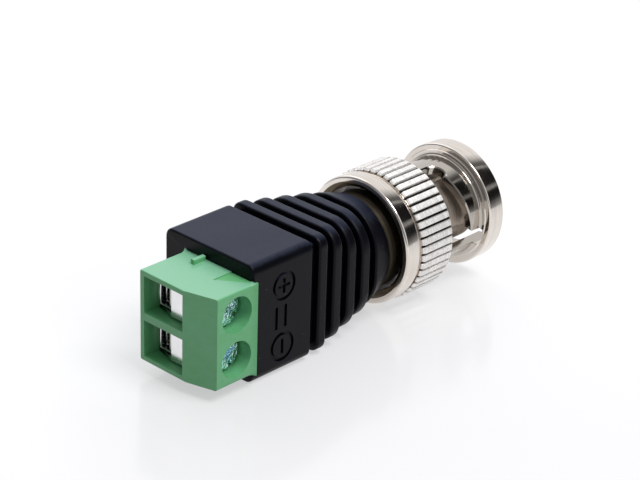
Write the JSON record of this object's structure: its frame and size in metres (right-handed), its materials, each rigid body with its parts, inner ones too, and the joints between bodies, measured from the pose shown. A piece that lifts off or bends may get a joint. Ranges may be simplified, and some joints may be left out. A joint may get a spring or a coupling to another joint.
{
  "type": "bnc screw terminal adapter",
  "caption": "Coaxial bayonet plug with a turning ring, joined by a ribbed housing to a screw terminal for bare wires.",
  "frame": {"origin": "on the plug's axis, at the root of the outer contact", "axes": "+X along the plug towards its mouth; the clamp screws face -Y; the two poles lie along Z, positive at +Z"},
  "size_m": [0.0457, 0.0152, 0.0152],
  "materials": {
    "plug_metal": "nickel plated, turned",
    "ring_metal": "nickel plated, bright",
    "spring_metal": "plain spring steel",
    "pin_metal": "gold plated",
    "dielectric": "off-white",
    "gasket_rubber": "soft black",
    "housing_plastic": "fine moulded grain",
    "terminal_plastic": "satin green",
    "screw_metal": "zinc plated",
    "cage_metal": "zinc plated",
    "strip_metal": "tin plated",
    "copper_wire": "bare copper strands",
    "insulation_red": "smooth insulation",
    "insulation_black": "smooth insulation"
  },
  "bodies": {
    "adapter": {"plug_body": "plug_metal", "rear_ferrule": "plug_metal", "centre_insulator": "dielectric", "centre_contact": "pin_metal", "sealing_gasket": "gasket_rubber", "spring_washer": "spring_metal", "housing": "housing_plastic", "terminal_body": "terminal_plastic", "contact_strip_positive": "strip_metal", "contact_strip_negative": "strip_metal", "signal_lead_core": "copper_wire", "signal_lead_insulation": "insulation_red", "ground_lead_core": "copper_wire", "ground_lead_insulation": "insulation_black"},
    "washer": {"thrust_washer": "spring_metal"},
    "ring": {"coupling_ring": "ring_metal", "snap_ring": "spring_metal"},
    "screw_positive": {"clamp_screw_positive": "screw_metal"},
    "screw_negative": {"clamp_screw_negative": "screw_metal"},
    "cage_positive": {"clamp_cage_positive": "cage_metal"},
    "cage_negative": {"clamp_cage_negative": "cage_metal"}
  },
  "joints": [
    {"name": "ring_pull", "type": "slide", "parent": "adapter", "child": "washer", "axis": [1, 0, 0], "range_m": [0, 0.0006], "stiffness_N_per_m": 3000, "springref_m": -0.0006, "deforming": ["spring_washer"]},
    {"name": "ring_turn", "type": "hinge", "parent": "washer", "child": "ring", "pos_m": [0, 0, 0], "axis": [1, 0, 0], "continuous": true},
    {"name": "screw_turn_positive", "type": "hinge", "parent": "adapter", "child": "screw_positive", "pos_m": [-0.03516, -0.0054, 0.00254], "axis": [0, 1, 0], "range_deg": [0, 825]},
    {"name": "cage_lift_positive", "type": "slide", "parent": "adapter", "child": "cage_positive", "axis": [0, -1, 0], "range_m": [0, 0.00114]},
    {"name": "screw_turn_negative", "type": "hinge", "parent": "adapter", "child": "screw_negative", "pos_m": [-0.03516, -0.0054, -0.00254], "axis": [0, 1, 0], "range_deg": [0, 825]},
    {"name": "cage_lift_negative", "type": "slide", "parent": "adapter", "child": "cage_negative", "axis": [0, -1, 0], "range_m": [0, 0.00114]}
  ],
  "couplings": [
    {"joint": "screw_turn_positive", "follows": "cage_lift_positive", "rad_per_m": 12566},
    {"joint": "screw_turn_negative", "follows": "cage_lift_negative", "rad_per_m": 12566}
  ]
}
